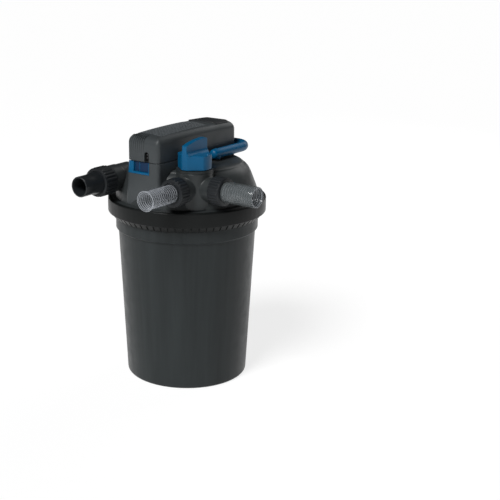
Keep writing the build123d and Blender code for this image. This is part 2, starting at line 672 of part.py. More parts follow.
# ---- the parts, by name ----
PARTS = {
    "container_bucket": make_container_bucket,
    "lid_dome": make_lid_dome,
    "inlet_port": make_inlet_port,
    "valve_housing": make_valve_housing,
    "valve_cap": make_valve_cap,
    "valve_cap_screws": make_valve_cap_screws,
    "head_base": make_head_base,
    "latch_button": make_latch_button,
    "latch_springs": make_latch_springs,
    "head_cover": make_head_cover,
    "indicator_window": make_indicator_window,
    "top_grip_panel": make_top_grip_panel,
    "rear_cover_plate": make_rear_cover_plate,
    "head_chassis": make_head_chassis,
    "head_screws": make_head_screws,
    "ballast": make_ballast,
    "circuit_board": make_circuit_board,
    "terminal_block": make_terminal_block,
    "cable_gland": make_cable_gland,
    "quartz_sleeve": make_quartz_sleeve,
    "uvc_lamp": make_uvc_lamp,
    "lamp_socket": make_lamp_socket,
    "sleeve_nut": make_sleeve_nut,
    "sleeve_seal": make_sleeve_seal,
    "head_seal": make_head_seal,
    "centre_tube": make_centre_tube,
    "coarse_foams": lambda: make_foams(0, 3),
    "fine_foams": lambda: make_foams(3, 6),
    "foam_top_plate": make_foam_top_plate,
    "press_plate": make_press_plate,
    "pull_rods": make_pull_rods,
    "rod_nuts": make_rod_nuts,
    "rod_guides": make_rod_guides,
    "rod_seals": make_rod_seals,
    "pull_handle": make_pull_handle,
    "handle_screws": make_handle_screws,
    "valve_plug": make_valve_plug,
    "plug_seals": make_plug_seals,
    "rotary_knob": make_rotary_knob,
    "knob_pin": make_knob_pin,
    "outlet_union_nut": lambda: at_outlet(union_nut(VALVE_PORT_R, 33.0, 32.0)),
    "drain_union_nut": lambda: at_drain(union_nut(VALVE_PORT_R, 33.0, 32.0)),
    "inlet_union_nut": lambda: at_inlet(union_nut(INLET_PORT_R, 35.0, 40.0, NOZZLE_R + GAP)),
    "outlet_gasket": lambda: at_outlet(gasket(VALVE_PORT_R)),
    "drain_gasket": lambda: at_drain(gasket(VALVE_PORT_R)),
    "inlet_gasket": lambda: at_inlet(gasket(INLET_PORT_R)),
    "outlet_clear_tail": lambda: at_outlet(hose_tail(OUTLET_REACH)),
    "drain_clear_tail": lambda: at_drain(hose_tail(DRAIN_REACH)),
    "inlet_hose_tail": lambda: at_inlet(inlet_nozzle()),
    "lid_seal": make_lid_seal,
    "clamp_ring": make_clamp_ring,
    "clamp_pins": make_clamp_pins,
    "clamp_lever": make_clamp_lever,
    "lever_pin": make_lever_pin,
    "clamp_link": make_clamp_link,
}

os.makedirs("parts", exist_ok=True)
for name, make in PARTS.items():
    export_step(make(), f"parts/{name}.step")
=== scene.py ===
import json
import math

import bmesh
import bpy
from mathutils import Matrix, Vector


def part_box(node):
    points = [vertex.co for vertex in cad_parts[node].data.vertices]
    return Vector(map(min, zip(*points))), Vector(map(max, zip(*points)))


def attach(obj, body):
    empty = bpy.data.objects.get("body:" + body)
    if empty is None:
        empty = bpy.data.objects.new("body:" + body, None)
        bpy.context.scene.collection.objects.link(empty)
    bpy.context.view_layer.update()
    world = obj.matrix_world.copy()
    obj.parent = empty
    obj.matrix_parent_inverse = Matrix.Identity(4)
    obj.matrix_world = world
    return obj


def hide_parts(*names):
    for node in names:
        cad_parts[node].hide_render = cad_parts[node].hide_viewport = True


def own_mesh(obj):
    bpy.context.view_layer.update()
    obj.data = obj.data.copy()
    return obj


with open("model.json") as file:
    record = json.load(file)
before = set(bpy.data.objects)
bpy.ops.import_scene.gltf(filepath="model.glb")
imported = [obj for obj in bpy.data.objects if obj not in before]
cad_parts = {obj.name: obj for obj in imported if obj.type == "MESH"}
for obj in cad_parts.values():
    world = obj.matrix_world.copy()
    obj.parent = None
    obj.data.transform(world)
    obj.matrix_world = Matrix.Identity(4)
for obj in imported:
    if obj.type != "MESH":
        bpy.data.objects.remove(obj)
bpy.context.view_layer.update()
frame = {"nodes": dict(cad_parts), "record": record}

MM = 0.001
ROUND = 256                        # segments of a large turned piece
SMALL_ROUND = 96                   # segments of a hose tail
AXIS = 0.02                        # radius that closes a turned piece at its axis

# every measure below is in millimetres
BASE_R, TAPER = 147.3, 0.05        # container's radius at the floor, and its growth per mm of height
WALL = 4.5
COLLAR_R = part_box("container_bucket")[1].x / MM
COLLAR_Z = 370.0
RIM_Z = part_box("container_bucket")[1].z / MM
RING_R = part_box("clamp_ring")[1].x / MM
SLITS, CLAMP_DEG = 66, 135.0       # slits round the clamp ring, and the direction of its closure
FLANGE_Z, CROWN_Z = 446.0, 531.0   # top of the lid's flange, and of its dome
PORT_Z = 494.0
OUTLET = (171.0, -94.0, PORT_Z)
DRAIN = (94.0, -171.0, PORT_Z)
INLET = (-110.0, -191.0, PORT_Z)
THREAD_PITCH = 6.4
HEAD_LOW, HEAD_HIGH = [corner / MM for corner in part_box("head_cover")]
HEAD_FRONT, HEAD_REAR, HEAD_TOP = HEAD_LOW.y, HEAD_HIGH.y, HEAD_HIGH.z
CROWN_R, ARCH = 196.0, 4.2         # crossways radius of the head's top, and its rise along its length
FRONT_RIBS, RIB_PITCH = 8, 5.8
ROD_X, ROD_Y = 68.0, 25.0          # places of the two lift rods
BAR_Z = 548.0                      # middle of the handle's bar


# ---- mesh helpers, in millimetres ----
def add_piece(name, points, faces, body, replaces=(), smooth_deg=32.0):
    """A new mesh piece, smooth except at edges sharper than smooth_deg."""
    mesh = bpy.data.meshes.new(name)
    mesh.from_pydata([Vector(p) * MM for p in points], [], faces)
    mesh.validate()
    mesh.shade_smooth()
    mesh.set_sharp_from_angle(angle=math.radians(smooth_deg))
    piece = bpy.data.objects.new(name, mesh)
    bpy.context.scene.collection.objects.link(piece)
    return settle(piece, body, replaces)


def settle(piece, body, replaces=()):
    """Says what a piece rides on and the CAD nodes it stands for."""
    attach(piece, body)
    if replaces:
        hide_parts(*replaces)
    return piece


def rounded(corners, step_deg=11.0):
    """Closed outline from (x, y, radius) corners, with an arc at each corner that has a radius."""
    outline = []
    count = len(corners)
    for i, (x, y, radius) in enumerate(corners):
        here = Vector((x, y))
        if radius <= 0:
            outline.append(here)
            continue
        before = Vector(corners[i - 1][:2]) - here
        after = Vector(corners[(i + 1) % count][:2]) - here
        half = before.angle(after) / 2
        reach = min(radius / math.tan(half), 0.49 * before.length, 0.49 * after.length)
        radius = reach * math.tan(half)
        start = here + before.normalized() * reach
        end = here + after.normalized() * reach
        inward = (before.normalized() + after.normalized()).normalized()
        centre = here + inward * (radius / math.sin(half))
        turn = (start - centre).angle_signed(end - centre)
        steps = max(2, int(abs(math.degrees(turn)) / step_deg) + 1)
        for k in range(steps + 1):
            arm = (start - centre).copy()
            arm.rotate(Matrix.Rotation(-turn * k / steps, 2))
            outline.append(centre + arm)
    return outline


def turned_mesh(outline, segments=ROUND):
    """Points and faces of a closed outline of (radius, height) turned about Z."""
    rows = len(outline)
    points = []
    for s in range(segments):
        a = 2 * math.pi * s / segments
        points += [(p[0] * math.cos(a), p[0] * math.sin(a), p[1]) for p in outline]
    faces = []
    for s in range(segments):
        n = (s + 1) % segments
        for i in range(rows):
            j = (i + 1) % rows
            faces.append((s * rows + i, s * rows + j, n * rows + j, n * rows + i))
    return points, [f[::-1] for f in faces]


def ring_faces(rows, count):
    """Quads between successive rings of the same number of points."""
    faces = []
    for low in range(0, (rows - 1) * count, count):
        for i in range(count):
            j = (i + 1) % count
            faces.append((low + i, low + j, low + count + j, low + count + i))
    return faces


def prism_faces(count):
    """Sides and both ends between two matching outlines."""
    return ring_faces(2, count) + [tuple(reversed(range(count))), tuple(range(count, 2 * count))]


def gather(points, faces, more_points, more_faces):
    """Adds one shape's points and faces to the lists of a piece."""
    base = len(points)
    points += more_points
    faces += [tuple(base + i for i in face) for face in more_faces]


def circle_through(a, b, c):
    """Centre y, radius and centre x of the circle through three plan points."""
    (ax, ay), (bx, by), (cx, cy) = a, b, c
    d = 2 * (ax * (by - cy) + bx * (cy - ay) + cx * (ay - by))
    ux = ((ax**2 + ay**2) * (by - cy) + (bx**2 + by**2) * (cy - ay) + (cx**2 + cy**2) * (ay - by)) / d
    uy = ((ax**2 + ay**2) * (cx - bx) + (bx**2 + by**2) * (ax - cx) + (cx**2 + cy**2) * (bx - ax)) / d
    return uy, math.hypot(ax - ux, ay - uy), ux


def normals_of(outline):
    """Outward direction at each point of a plan outline."""
    count = len(outline)
    found = []
    for i in range(count):
        along = outline[(i + 1) % count] - outline[i - 1]
        found.append(Vector((along.y, -along.x)).normalized())
    return found


def face_outwards(mesh):
    """Turns every face of a closed mesh to look outwards."""
    shape = bmesh.new()
    shape.from_mesh(mesh)
    bmesh.ops.dissolve_degenerate(shape, dist=0.001 * MM, edges=shape.edges)
    bmesh.ops.recalc_face_normals(shape, faces=shape.faces)
    shape.to_mesh(mesh)
    shape.free()


def along_port(points, centre, facing):
    """Moves points made along +Z so that Z runs out of a port."""
    turned = [(x, -z, y) if facing == "-y" else (z, x, y) for x, y, z in points]
    return [tuple(a + b for a, b in zip(p, centre)) for p in turned]


def evaluated(piece):
    """Applies a piece's modifiers."""
    graph = bpy.context.evaluated_depsgraph_get()
    shape = bpy.data.meshes.new_from_object(piece.evaluated_get(graph))
    piece.modifiers.clear()
    piece.data = shape


def softened(node, body, name, voxel, passes):
    """A copy of a CAD node with its edges rounded as a moulding's are."""
    source = frame["nodes"][node]
    piece = bpy.data.objects.new(name, source.data.copy())
    bpy.context.scene.collection.objects.link(piece)
    remesh = piece.modifiers.new("voxels", "REMESH")
    remesh.mode = "VOXEL"
    remesh.voxel_size = voxel * MM
    remesh.use_smooth_shade = True
    smooth = piece.modifiers.new("smooth", "SMOOTH")
    smooth.factor = 0.5
    smooth.iterations = passes
    evaluated(piece)
    piece.data.shade_smooth()
    piece.data.materials.clear()
    return settle(piece, body, (node,))


# ---- materials ----
def nodes_of(name):
    """A new material, its node tree and its shader."""
    material = bpy.data.materials.new(name)
    material.use_nodes = True
    tree = material.node_tree
    shader = tree.nodes["Principled BSDF"]
    return material, tree, shader


def link(tree, a, b):
    tree.links.new(a, b)


def noise(tree, scale, detail=3.0, stretch=(1, 1, 1)):
    """Noise fixed to the object, from 0 to 1."""
    place = tree.nodes.new("ShaderNodeTexCoord")
    mapping = tree.nodes.new("ShaderNodeMapping")
    mapping.inputs["Scale"].default_value = stretch
    texture = tree.nodes.new("ShaderNodeTexNoise")
    texture.inputs["Scale"].default_value = scale
    texture.inputs["Detail"].default_value = detail
    texture.inputs["Roughness"].default_value = 0.55
    link(tree, place.outputs["Object"], mapping.inputs["Vector"])
    link(tree, mapping.outputs["Vector"], texture.inputs["Vector"])
    return texture.outputs["Fac"]


def ramp(tree, source, stops):
    """Colour ramp over (place, colour) stops."""
    node = tree.nodes.new("ShaderNodeValToRGB")
    for index, (place, colour) in enumerate(stops):
        if index > 1:
            node.color_ramp.elements.new(place)
        node.color_ramp.elements[index].position = place
        node.color_ramp.elements[index].color = (*colour, 1)
    link(tree, source, node.inputs["Fac"])
    return node.outputs["Color"]


def shade(colour, factor):
    return tuple(min(1.0, c * factor) for c in colour)


STREAKS = (1, 1, 0.03)             # noise stretched upright


def grey_ramp(tree, source, low, high):
    """Grey from low to high, over the middle of a noise."""
    return ramp(tree, source, [(0.3, (low,) * 3), (0.7, (high,) * 3)])


def moulded(name, colour, rough, grain=1400.0, bump=0.06, mottle=0.12, streak=0.0, spec=0.5):
    """Moulded plastic: faint mottling, a fine spark-eroded grain and slightly uneven gloss."""
    material, tree, shader = nodes_of(name)
    patches = noise(tree, 46.0, 4.0, STREAKS) if streak else noise(tree, 9.0, 4.0)
    tone = ramp(tree, patches, [(0.3, shade(colour, 1 - mottle)), (0.7, shade(colour, 1 + mottle))])
    link(tree, tone, shader.inputs["Base Color"])
    gloss = grey_ramp(tree, noise(tree, 38.0), rough - 0.05, rough + 0.06)
    link(tree, gloss, shader.inputs["Roughness"])
    fine = tree.nodes.new("ShaderNodeBump")
    fine.inputs["Strength"].default_value = bump
    fine.inputs["Distance"].default_value = 0.0004
    link(tree, noise(tree, grain, 2.0), fine.inputs["Height"])
    last = fine
    if streak:
        drawn = tree.nodes.new("ShaderNodeBump")
        drawn.inputs["Strength"].default_value = streak
        drawn.inputs["Distance"].default_value = 0.0012
        link(tree, noise(tree, 46.0, 3.0, STREAKS), drawn.inputs["Height"])
        link(tree, fine.outputs["Normal"], drawn.inputs["Normal"])
        last = drawn
    link(tree, last.outputs["Normal"], shader.inputs["Normal"])
    shader.inputs["Specular IOR Level"].default_value = spec
    return material


def clear_plastic(name, low, high, alpha):
    """Smoky clear hose plastic, seen through, with a glossy skin and faint cloudiness."""
    material, tree, shader = nodes_of(name)
    tone = ramp(tree, noise(tree, 60.0, 3.0), [(0.3, low), (0.7, high)])
    link(tree, tone, shader.inputs["Base Color"])
    gloss = grey_ramp(tree, noise(tree, 60.0, 2.0), 0.10, 0.18)
    link(tree, gloss, shader.inputs["Roughness"])
    shader.inputs["Alpha"].default_value = alpha
    shader.inputs["IOR"].default_value = 1.46
    return material


def foam(name, colour):
    """Open-cell foam: dark dents in a coloured web; the dark of the dents is painted shade in the pores."""
    material, tree, shader = nodes_of(name)
    cells = tree.nodes.new("ShaderNodeTexVoronoi")
    cells.inputs["Scale"].default_value = 320.0
    place = tree.nodes.new("ShaderNodeTexCoord")
    link(tree, place.outputs["Object"], cells.inputs["Vector"])
    # darker towards each cell's centre: painted shade in the pores
    tone = ramp(tree, cells.outputs["Distance"], [(0.1, shade(colour, 0.25)), (0.6, shade(colour, 1.3))])
    link(tree, tone, shader.inputs["Base Color"])
    dents = tree.nodes.new("ShaderNodeBump")
    dents.inputs["Strength"].default_value = 0.9
    dents.inputs["Distance"].default_value = 0.002
    link(tree, cells.outputs["Distance"], dents.inputs["Height"])
    link(tree, dents.outputs["Normal"], shader.inputs["Normal"])
    shader.inputs["Roughness"].default_value = 0.95
    return material


def steel():
    """Drawn steel."""
    material, tree, shader = nodes_of("steel")
    tone = grey_ramp(tree, noise(tree, 120.0, 3.0, (1, 1, 0.05)), 0.45, 0.62)
    link(tree, tone, shader.inputs["Base Color"])
    shader.inputs["Metallic"].default_value = 1.0
    gloss = grey_ramp(tree, noise(tree, 200.0, 2.0), 0.25, 0.4)
    link(tree, gloss, shader.inputs["Roughness"])
    return material


def glass(name, colour, weight):
    """Glass that lets through a share of the light."""
    material, tree, shader = nodes_of(name)
    tone = ramp(tree, noise(tree, 12.0, 2.0), [(0.3, shade(colour, 0.96)), (0.7, colour)])
    link(tree, tone, shader.inputs["Base Color"])
    gloss = grey_ramp(tree, noise(tree, 30.0, 2.0), 0.02, 0.06)
    link(tree, gloss, shader.inputs["Roughness"])
    shader.inputs["Transmission Weight"].default_value = weight
    shader.inputs["IOR"].default_value = 1.46
    return material


MOULDED = (
    ("anthracite_plastic", (0.021, 0.025, 0.026), 0.38, dict(mottle=0.16, streak=0.14, spec=0.16)),
    ("head_plastic", (0.043, 0.049, 0.052), 0.42, dict(spec=0.26)),
    ("black_plastic", (0.012, 0.013, 0.014), 0.38, dict(bump=0.04)),
    ("lid_plastic", (0.027, 0.031, 0.032), 0.38, dict(spec=0.28)),
    ("ring_plastic", (0.007, 0.008, 0.008), 0.36, dict(spec=0.14)),
    ("nut_plastic", (0.013, 0.015, 0.017), 0.46, dict(spec=0.22)),
    ("nozzle_plastic", (0.012, 0.014, 0.016), 0.33, dict(spec=0.3)),
    ("plate_plastic", (0.020, 0.022, 0.024), 0.5, dict(spec=0.25)),
    # near-black: painted shade for the inside of the head behind its slot
    ("slot_painted_shade", (0.002, 0.002, 0.002), 0.6, dict(spec=0.1)),
    ("lens_plastic", (0.02, 0.022, 0.024), 0.2, dict(spec=0.5)),
    ("blue_plastic", (0.0, 0.080, 0.185), 0.36, dict(bump=0.03, mottle=0.05, spec=0.22)),
    # navy: painted shade for the latch's recess
    ("navy_recess_shade", (0.002, 0.020, 0.060), 0.4, dict(bump=0.03, mottle=0.06, spec=0.25)),
    ("white_plastic", (0.6, 0.6, 0.57), 0.45, dict()),
    ("board", (0.02, 0.16, 0.06), 0.35, dict(mottle=0.2)),
    ("seal_rubber", (0.010, 0.010, 0.011), 0.75, dict(grain=700.0, bump=0.15)),
    # lighter than head_plastic: painted light on the head's top, leaving the grooves between the tiles as
    # painted shade
    ("tile_plastic_painted_light", (0.085, 0.095, 0.102), 0.46, dict(spec=0.25)),
)
CLEAR = (
    ("clear_plastic", (0.10, 0.115, 0.13), (0.17, 0.185, 0.20), 0.13),
    ("smoky_plastic", (0.10, 0.115, 0.12), (0.15, 0.165, 0.17), 0.42),
    # light grey: painted glints on the thread crests and the mouths' rims
    ("thread_painted_glint", (0.30, 0.32, 0.35), (0.46, 0.48, 0.52), 0.60),
)
MATERIALS = {name: moulded(name, colour, rough, **more) for name, colour, rough, more in MOULDED}
MATERIALS.update({row[0]: clear_plastic(*row) for row in CLEAR})
MATERIALS.update({
    "coarse_foam": foam("coarse_foam", (0.02, 0.14, 0.42)),
    "fine_foam": foam("fine_foam", (0.45, 0.05, 0.04)),
    "steel": steel(),
    "quartz": glass("quartz", (0.95, 0.97, 1.0), 0.95),
    "lamp_glass": glass("lamp_glass", (0.92, 0.94, 0.96), 0.5),
})


def paint(piece, material):
    """Gives a piece one material."""
    piece.data.materials.clear()
    piece.data.materials.append(MATERIALS[material])
    return piece


SLOT_OF = {row["node"]: row["material_slot"] for row in frame["record"]["subparts"]}
for node, piece in frame["nodes"].items():
    paint(piece, SLOT_OF[node])
    piece.data.shade_smooth()
    piece.data.set_sharp_from_angle(angle=math.radians(30))


def make_prism(name, outline, low, high, body, material, edge=0.8, turn_deg=0.0,
               replaces=()):
    """Upright prism on an outline, with rounded top and bottom edges."""
    turn = math.radians(turn_deg)
    points = []
    for z in (low, high):
        for p in outline:
            points.append((p[0] * math.cos(turn) - p[1] * math.sin(turn),
                           p[0] * math.sin(turn) + p[1] * math.cos(turn), z))
    piece = add_piece(name, points, prism_faces(len(outline)), body, replaces)
    bevel = piece.modifiers.new("edges", "BEVEL")
    bevel.width = edge * MM
    bevel.segments = 3
    bevel.limit_method = "ANGLE"
    bevel.angle_limit = math.radians(35.0)
    bevel.harden_normals = True
    return paint(piece, material)


# ---- camera ----
def make_camera():
    """Long lens, a little above the lid, looking along the valve's corner of the filter."""
    camera = bpy.data.cameras.new("camera")
    camera.sensor_width = 36.0
    camera.lens = 76.62            # fitted to the photo, as are the shift and the place
    camera.shift_x = 0.1322
    stand = bpy.data.objects.new("camera", camera)
    bpy.context.scene.collection.objects.link(stand)
    azimuth, distance, height, pitch = math.radians(37.5), 2.493, 1.053, math.radians(16.73)
    stand.location = (distance * math.sin(azimuth), -distance * math.cos(azimuth), height)
    aim = azimuth + 0.003
    stand.rotation_euler = (math.pi / 2 - pitch, 0, aim)
    bpy.context.scene.camera = stand


# ---- container ----
def wall_r(z):
    """Outer radius of the container's wall at a height."""
    return BASE_R + TAPER * z


def make_container():
    """Tapered bucket with a collar that the clamp ring closes on."""
    inner_r = wall_r(COLLAR_Z) - WALL
    outline = rounded([
        (BASE_R - 14, 3, 1), (BASE_R - 16, 0, 1.5), (BASE_R, 0, 7),
        (wall_r(COLLAR_Z - 5), COLLAR_Z - 5, 2.5), (COLLAR_R, COLLAR_Z - 1, 2), (COLLAR_R, RIM_Z, 1.2),
        (inner_r, RIM_Z, 1.2), (inner_r, COLLAR_Z, 2), (wall_r(16) - WALL, 16, 3), (BASE_R - 10, 8, 4),
        (AXIS, 8, 0), (AXIS, 3, 0)])
    points, faces = turned_mesh(outline)
    shell = add_piece("container_shell", points, faces, "container",
                      ("container_bucket",))
    paint(shell, "anthracite_plastic")


def make_clamp_ring():
    """The ring's smooth band, and under it a cone cut by narrow slits; it is open at its closure."""
    band = rounded([
        (184.2, 445.5, 0.5), (187.0, 445.5, 1.5), (RING_R, 442.5, 3.0), (RING_R, 411.0, 2.0),
        (188.6, 409.6, 0.3), (186.4, 410.2, 0.3), (184.2, 412.5, 0.5)], 22.0)
    cone_foot = [(172.4, 395.5), (172.4, 398.0), (183.8, 413.0)]
    cone_out = [(186.6, 410.4), (184.6, 407.6), (176.5, 397.6), (174.0, 395.5)] + cone_foot
    cone_in = [(186.2, 410.4), (182.4, 408.2), (175.4, 399.2), (173.6, 395.6)] + cone_foot
    pitch = 2 * math.pi / SLITS
    slit = 0.22 * pitch
    edge = 0.004                   # run of a slit's side, in radians
    gap = 5.2 / RING_R             # half of the opening at the closure
    stops = [i * pitch + shift for i in range(SLITS) for shift in (0, edge, slit, slit + edge)]
    angles = [gap] + [a for a in stops if gap < a < 2 * math.pi - gap] + [2 * math.pi - gap]

    def cone_at(a):
        return cone_in if 0.001 < (a % pitch) < slit + 0.001 else cone_out

    for name, rows_at, stands_for in (("clamp_ring_band", lambda a: band, ("clamp_ring",)),
                                      ("clamp_ring_cone", cone_at, ())):
        points, faces = [], []
        rows = len(rows_at(0))
        for a in angles:
            turn = math.radians(CLAMP_DEG) + a
            points += [(r * math.cos(turn), r * math.sin(turn), z) for r, z in rows_at(a)]
        last = (len(angles) - 1) * rows
        for s in range(0, last, rows):
            for i in range(rows):
                j = (i + 1) % rows
                faces.append((s + i, s + rows + i, s + rows + j, s + j))
        faces.append(tuple(range(rows)))
        faces.append(tuple(last + i for i in reversed(range(rows))))
        ring = add_piece(name, points, faces, "lid", stands_for, 28.0)
        paint(ring, "ring_plastic")


def make_ring_ears():
    """Ears that carry the two pins of the ring's closure."""
    for index, (x, y) in enumerate(((201.0, 16.0), (202.0, -16.0))):
        for level, (low, high) in enumerate(((413.0, 417.5), (438.5, 443.0))):
            outline = rounded([(186.0, y - 6.5, 0.8), (x + 6, y - 6, 5.5),
                               (x + 6, y + 6, 5.5), (186.0, y + 6.5, 0.8)])
            make_prism(f"ring_ear_{index}_{level}", outline, low, high, "lid", "ring_plastic",
                       turn_deg=CLAMP_DEG)


# ---- lid ----
def make_dome():
    """Lid shell: a flat flange, a wall that leans in, a rounded shoulder and a raised shoulder bead."""
    flange = [(160.0, FLANGE_Z), (181.0, FLANGE_Z), (182.6, FLANGE_Z - 0.6), (183.4, FLANGE_Z - 2.2),
              (183.4, 428.5), (182.4, 427.2), (164.0, 427.0), (157.0, 434.0)]
    wall = [(171.8, FLANGE_Z), (171.2, 448.0), (170.6, 452.0), (168.2, 462.0), (165.2, 471.0),
            (161.6, 480.0), (158.6, 488.0), (155.4, 496.0), (152.0, 504.0), (148.6, 510.6),
            (145.6, 515.0), (142.0, 518.8), (138.0, 521.8), (134.6, 523.6), (133.6, 524.6),
            (132.8, 526.2), (130.6, 527.6), (125.0, 529.3), (117.0, 530.7), (108.0, CROWN_Z)]
    top = [(r, CROWN_Z) for r in (80.0, 45.0, 42.0)]
    under = [(42.0, 527.0), (108.0, 527.0), (124.0, 525.0), (138.0, 517.0), (148.0, 503.0), (158.0, 478.0),
             (165.0, 456.0), (165.5, 447.0)]
    for name, outline, stands_for, smooth_deg in (
            ("lid_shell", wall + top + under, ("lid_dome",), 40.0),
            ("lid_flange", flange, (), 32.0)):
        points, faces = turned_mesh([Vector(p) for p in outline])
        shell = add_piece(name, points, [f[::-1] for f in faces], "lid",
                          stands_for, smooth_deg)
        paint(shell, "lid_plastic")


# ---- hose unions ----
def make_union_nut(name, node, body, centre, facing, outer_r, length, port_r, lip_r=24.6):
    """Union nut with rounded grip ribs between two plain rims."""
    front = 12.0                   # how far the nut reaches past its port
    back = front - length
    ribs = 24
    steps = ribs * 8
    rows = [(back, 0), (back + 0.8, 0), (back + 2.4, 0), (back + 3.4, 1), (back + 5.0, 1),
            (front - 6.5, 1), (front - 5.0, 1), (front - 4.0, 0), (front - 1.2, 0), (front, 0)]
    inset = {0: 1.6, len(rows) - 1: 2.4}
    points, faces = [], []
    for index, (z, ribbed) in enumerate(rows):
        for s in range(steps):
            a = 2 * math.pi * s / steps
            wave = 0.5 + 0.5 * math.cos(ribs * a)
            crest = 0.9 + 1.5 * wave ** 0.5 if ribbed else 1.2
            r = outer_r - 2.6 + crest - inset.get(index, 0)
            points.append((r * math.cos(a), r * math.sin(a), z))
    inner = [(front, lip_r), (front - 3.6, lip_r), (front - 3.7, port_r + 0.4), (back, port_r + 0.4)]
    for z, r in inner:
        for s in range(steps):
            a = 2 * math.pi * s / steps
            points.append((r * math.cos(a), r * math.sin(a), z))
    total = len(rows) + len(inner)
    for k in range(total):
        n = (k + 1) % total
        for s in range(steps):
            t = (s + 1) % steps
            faces.append((k * steps + s, k * steps + t, n * steps + t, n * steps + s))
    points = along_port(points, centre, facing)
    paint(add_piece(name, points, faces, body, (node,), 40.0), "nut_plastic")


def make_tail(name, node, centre, facing, reach, wall):
    """Plain clear hose tail; a fine thread runs round the inside, seen through the wall; the thread and a
    ring at the mouth are painted light grey as painted glints.
    """
    outline = [(20.4, 3.2), (27.4, 3.2), (27.4, 7.8), (23.9, 8.2), (23.9, reach - 1.2),
               (23.4, reach - 0.3), (22.7, reach), (21.0, reach), (20.5, reach - 0.6)]
    points, faces = turned_mesh([Vector(p) for p in outline], SMALL_ROUND)
    points = along_port(points, centre, facing)
    piece = add_piece(name, points, [f[::-1] for f in faces], "lid", (node,), 50.0)
    paint(piece, wall)
    points, faces = [], []
    z = reach - 2.4
    while z > 10.0:
        profile = ((20.2, z + 1.1), (19.0, z + 0.7), (19.0, z - 0.7), (20.2, z - 1.1))
        ring_points, ring_quads = turned_mesh([Vector(p) for p in profile], 72)
        gather(points, faces, ring_points, [face[::-1] for face in ring_quads])
        z -= THREAD_PITCH
    # a light ring laid on the mouth's rim: painted highlight
    step = 2 * math.pi / SMALL_ROUND
    rim = [(r * math.cos(a * step), r * math.sin(a * step), reach + 0.05)
           for r in (23.0, 21.2) for a in range(SMALL_ROUND)]
    gather(points, faces, rim, ring_faces(2, SMALL_ROUND))
    points = along_port(points, centre, facing)
    paint(add_piece(name + "_thread", points, faces, "lid", (), 50.0), "thread_painted_glint")


def make_nozzle():
    """The inlet's black hose nozzle, tapering smoothly from its nut."""
    reach = 68.0
    outline = [(20.4, 3.2), (29.9, 3.2), (29.9, 7.8), (27.3, 8.2), (27.3, 12.0), (26.9, 14.5),
               (25.4, 24.0), (24.2, 33.0), (23.9, 38.0), (23.9, reach - 1.2), (23.4, reach - 0.3),
               (22.7, reach), (21.0, reach), (20.5, reach - 0.6)]
    points, faces = turned_mesh([Vector(p) for p in outline], SMALL_ROUND)
    points = along_port(points, INLET, "-y")
    piece = add_piece("inlet_nozzle", points, [f[::-1] for f in faces], "lid",
                      ("inlet_hose_tail",), 50.0)
    paint(piece, "nozzle_plastic")


def make_unions():
    """The three hose connections."""
    make_union_nut("outlet_nut_grip", "outlet_union_nut", "outlet_nut", OUTLET, "+x", 33.0, 32.0, 28.0)
    make_union_nut("drain_nut_grip", "drain_union_nut", "drain_nut", DRAIN, "-y", 33.0, 32.0, 28.0)
    make_union_nut("inlet_nut_grip", "inlet_union_nut", "inlet_nut", INLET, "-y", 35.0, 40.0, 30.5, 27.8)
    make_tail("outlet_tail", "outlet_clear_tail", OUTLET, "+x", 95.0, "smoky_plastic")
    make_tail("drain_tail", "drain_clear_tail", DRAIN, "-y", 99.0, "clear_plastic")
    make_nozzle()


# ---- head ----
def plan(spread=0.0):
    """Plan of the head: narrow latch end, bowed sides, well rounded rear corners."""
    front, rear = HEAD_FRONT - spread / 2, HEAD_REAR + spread / 2
    half_front, half_middle, half_rear = 45.0 + spread, 51.5 + spread * 0.4, 50.0 + spread * 0.4
    centre_y, radius, centre_x = circle_through((half_front, front), (half_middle, -20.0), (half_rear, rear))
    ys = [front + (rear - front) * k / 12 for k in range(1, 12)]
    right = [(centre_x + math.sqrt(radius ** 2 - (y - centre_y) ** 2), y, 0) for y in ys
             if front + 18 < y < rear - 32]
    left = [(-x, y, 0) for x, y, _ in reversed(right)]
    corners = ([(-half_front, front, 10), (half_front, front, 10)] + right
               + [(half_rear, rear, 28), (-half_rear, rear, 28)] + left)
    return rounded(corners, 9.0)


def crown_z(x, y):
    """Height of the head's top: crowned crossways, and a low arch along its length."""
    along = (y + 20.0) / (135.0 if y < -20.0 else 150.0)
    return HEAD_TOP - x * x / (2 * CROWN_R) + ARCH * max(0.0, 1.0 - along * along)


